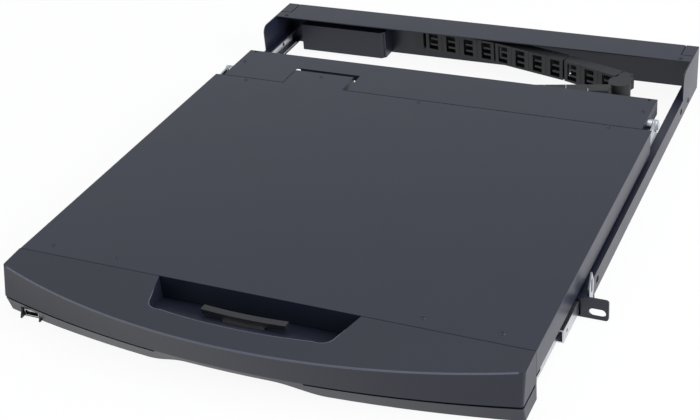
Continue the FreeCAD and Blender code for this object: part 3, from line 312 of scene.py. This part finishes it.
for node, skin in (("lid_screws", coat), ("drawer_screws", coat), ("frame_screws", black_zinc)):
    dressed_heads(node, skin)


# ------------------------------------------------------------------ rounded edges of the front bezel, drawn lighter as a painted highlight
SEAM_Y, LID_TOP = -104.0, 36.4           # where the bezel meets the lid, and the lid's top
TOP_FALL = 3.0 / 63.0                    # the bezel's top falls 3 mm over its depth of 63 mm
CREASE_DEPTH, CREASE_Z = (63.0, 24.0), 33.4      # depth at the middle and at the ends, and height
GROOVE_DEPTH, GROOVE_Z = (57.5, 30.0), 9.9
BEZEL_HALF, CORNER = 217.9, 1.8
BEAD_SIDES = 12
BEAD_END = 0.2                           # share of the radius left at each end of a bead


def through(first, second, third, steps):
    """Points on the circle through three plan points, evenly turned from the first to the third."""
    (ax, ay), (bx, by), (cx, cy) = first, second, third
    d = 2 * (ax * (by - cy) + bx * (cy - ay) + cx * (ay - by))
    ux = ((ax**2 + ay**2) * (by - cy) + (bx**2 + by**2) * (cy - ay) + (cx**2 + cy**2) * (ay - by)) / d
    uy = ((ax**2 + ay**2) * (cx - bx) + (bx**2 + by**2) * (ax - cx) + (cx**2 + cy**2) * (bx - ax)) / d
    radius = math.hypot(ax - ux, ay - uy)
    start_turn, end_turn = math.atan2(ay - uy, ax - ux), math.atan2(cy - uy, cx - ux)
    turn = (end_turn - start_turn + math.pi) % (2 * math.pi) - math.pi
    return [(ux + radius * math.cos(start_turn + turn * n / steps),
             uy + radius * math.sin(start_turn + turn * n / steps)) for n in range(steps + 1)]


def top_at(y):
    """Height of the bezel's sloping top."""
    return LID_TOP - TOP_FALL * (SEAM_Y - y)


def crease_path():
    """The line where the bezel's top meets its front, from left to right."""
    height, x_in = CREASE_Z, BEZEL_HALF - CORNER
    places = []
    for x in np.linspace(-x_in, x_in, 121):
        for _ in range(4):
            share = (height - GROOVE_Z) / (CREASE_Z - GROOVE_Z)
            middle, end = (g + (c - g) * share for g, c in zip(GROOVE_DEPTH, CREASE_DEPTH))
            fall = (middle - end) * (x_in / BEZEL_HALF) ** 2
            radius = (x_in**2 + fall**2) / (2 * fall)
            y = SEAM_Y - (middle - radius + math.sqrt(radius**2 - x**2))
            height = top_at(y)
        places.append((x, y, height))
    return places


def rim_path():
    """The finger pocket's edge in the bezel's top, from the lid round the front and back to the lid."""
    side, elbow, inner = (78.0, SEAM_Y - 27.0), (74.8, SEAM_Y - 33.7), (64.0, SEAM_Y - 36.5)
    half = [(86.0, SEAM_Y - 0.6), side] + through(side, elbow, inner, 10)[1:]
    front = through(inner, (0.0, SEAM_Y - 41.0), (-inner[0], inner[1]), 48)[1:-1]
    return [(x, y, top_at(y)) for x, y in half + front + [(-x, y) for x, y in half[::-1]]]


def bead(name, path, radius, shift, skin):
    """Round bead along a path in mm.

    Each station is a circle of the given radius, square to the path, moved from the path by shift. The end
    stations shrink to a fifth, so that the bead runs out in the edge.
    """
    path = np.array(path) + np.array(shift)
    along = np.gradient(path, axis=0)
    along /= np.linalg.norm(along, axis=1)[:, None]
    up = np.array([0.0, 0.0, 1.0])
    across = np.cross(along, up)
    across /= np.linalg.norm(across, axis=1)[:, None]
    over = np.cross(across, along)
    taper = np.ones(len(path))
    taper[[0, -1]] = BEAD_END
    points, faces = [], []
    for n, place in enumerate(path):
        for k in range(BEAD_SIDES):
            turn = 2 * math.pi * k / BEAD_SIDES
            points.append((place + radius * taper[n] * (math.cos(turn) * across[n]
                                                        + math.sin(turn) * over[n])) * MM)
    for n in range(len(path) - 1):
        a, b = n * BEAD_SIDES, (n + 1) * BEAD_SIDES
        faces += [(a + k, b + k, b + (k + 1) % BEAD_SIDES, a + (k + 1) % BEAD_SIDES)
                  for k in range(BEAD_SIDES)]
    faces += [tuple(range(BEAD_SIDES)), tuple(range(len(points) - 1, len(points) - BEAD_SIDES - 1, -1))]
    made = surface(name, points, faces, skin)
    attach(made, nodes["front_bezel"]["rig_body"])


# the beads are a lighter, glossier plastic than the bezel: a painted highlight along the crease and the pocket rim
highlight_abs = moulded_plastic("abs_burnished_edge", "#4A4E5C", 0.28)
bead("bezel_crease", crease_path(), 0.75, (0, 0.52, -0.52), highlight_abs)
bead("pocket_rim", rim_path(), 0.45, (0, 0, -0.30), highlight_abs)


reach = 6.0
floor_z = low.z - 0.2 * MM
paper = surface("studio_floor", [(-reach, -reach, floor_z), (reach, -reach, floor_z), (reach, reach, floor_z),
                                 (-reach, reach, floor_z)], [(0, 1, 2, 3)], backdrop_skin(), smooth=False)

ROOM_LIGHT, ROOM_SEEN = 0.55, 0.70       # the room as a light, and as the camera and mirrors see it
world = bpy.data.worlds.new("studio")
bpy.context.scene.world = world
world.use_nodes = True
sky = world.node_tree
sky.nodes.clear()
path = add(sky, "LightPath")
seen = add(sky, "Math", {"operation": "MAXIMUM"})
sky.links.new(path.outputs["Is Camera Ray"], seen.inputs[0])
sky.links.new(path.outputs["Is Glossy Ray"], seen.inputs[1])
also = add(sky, "Math", {"operation": "MAXIMUM"})
sky.links.new(seen.outputs[0], also.inputs[0])
sky.links.new(path.outputs["Is Transmission Ray"], also.inputs[1])
level = ramp(sky, also.outputs[0], 0.0, 1.0, ROOM_LIGHT, ROOM_SEEN)
plain = add(sky, "Background", Color=(0.92, 0.96, 1.0, 1), Strength=level)
sky_out = add(sky, "OutputWorld")
sky.links.new(plain.outputs[0], sky_out.inputs["Surface"])


def softbox(name, place, aim, size, watts):
    """A square soft light that faces a point."""
    lamp = bpy.data.lights.new(name, "AREA")
    lamp.shape, lamp.size, lamp.energy = "SQUARE", size, watts
    made = bpy.data.objects.new(name, lamp)
    made.location = place
    made.rotation_euler = (Vector(aim) - Vector(place)).to_track_quat("-Z", "Y").to_euler()
    bpy.context.scene.collection.objects.link(made)
    return made


softbox("key_soft", (2.1, -0.1, 0.75), (0, 0.1, 0), 1.4, 52)
softbox("fill_soft", (-1.8, -0.8, 1.6), (0, 0.1, 0), 1.6, 12)
softbox("top_soft", (0.0, 0.5, 2.3), (0, 0.1, 0), 1.8, 12)

# the viewer stands to the right of the drawer's front, looking down, with the camera a little rolled
view_az, view_el, view_roll = map(math.radians, (26.93, 31.42, -5.3))
eye = Vector((0.4534, -0.8300, 0.6245))
ahead = Vector((-math.sin(view_az) * math.cos(view_el), math.cos(view_az) * math.cos(view_el), -math.sin(view_el)))
side = ahead.cross(Vector((0, 0, 1))).normalized()
above = side.cross(ahead)
right = math.cos(view_roll) * side + math.sin(view_roll) * above
upward = -math.sin(view_roll) * side + math.cos(view_roll) * above
SENSOR_MM = 36.0
FOCAL_WIDTHS = 1378.05 / 700             # focal length as a share of the sensor's width
lens = bpy.data.cameras.new("viewer")
lens.sensor_width, lens.lens = SENSOR_MM, SENSOR_MM * FOCAL_WIDTHS
camera = bpy.data.objects.new("viewer", lens)
camera.matrix_world = Matrix(((right.x, upward.x, -ahead.x, eye.x), (right.y, upward.y, -ahead.y, eye.y),
                              (right.z, upward.z, -ahead.z, eye.z), (0, 0, 0, 1)))
bpy.context.scene.collection.objects.link(camera)
bpy.context.scene.camera = camera
bpy.context.scene.view_settings.view_transform = "Standard"
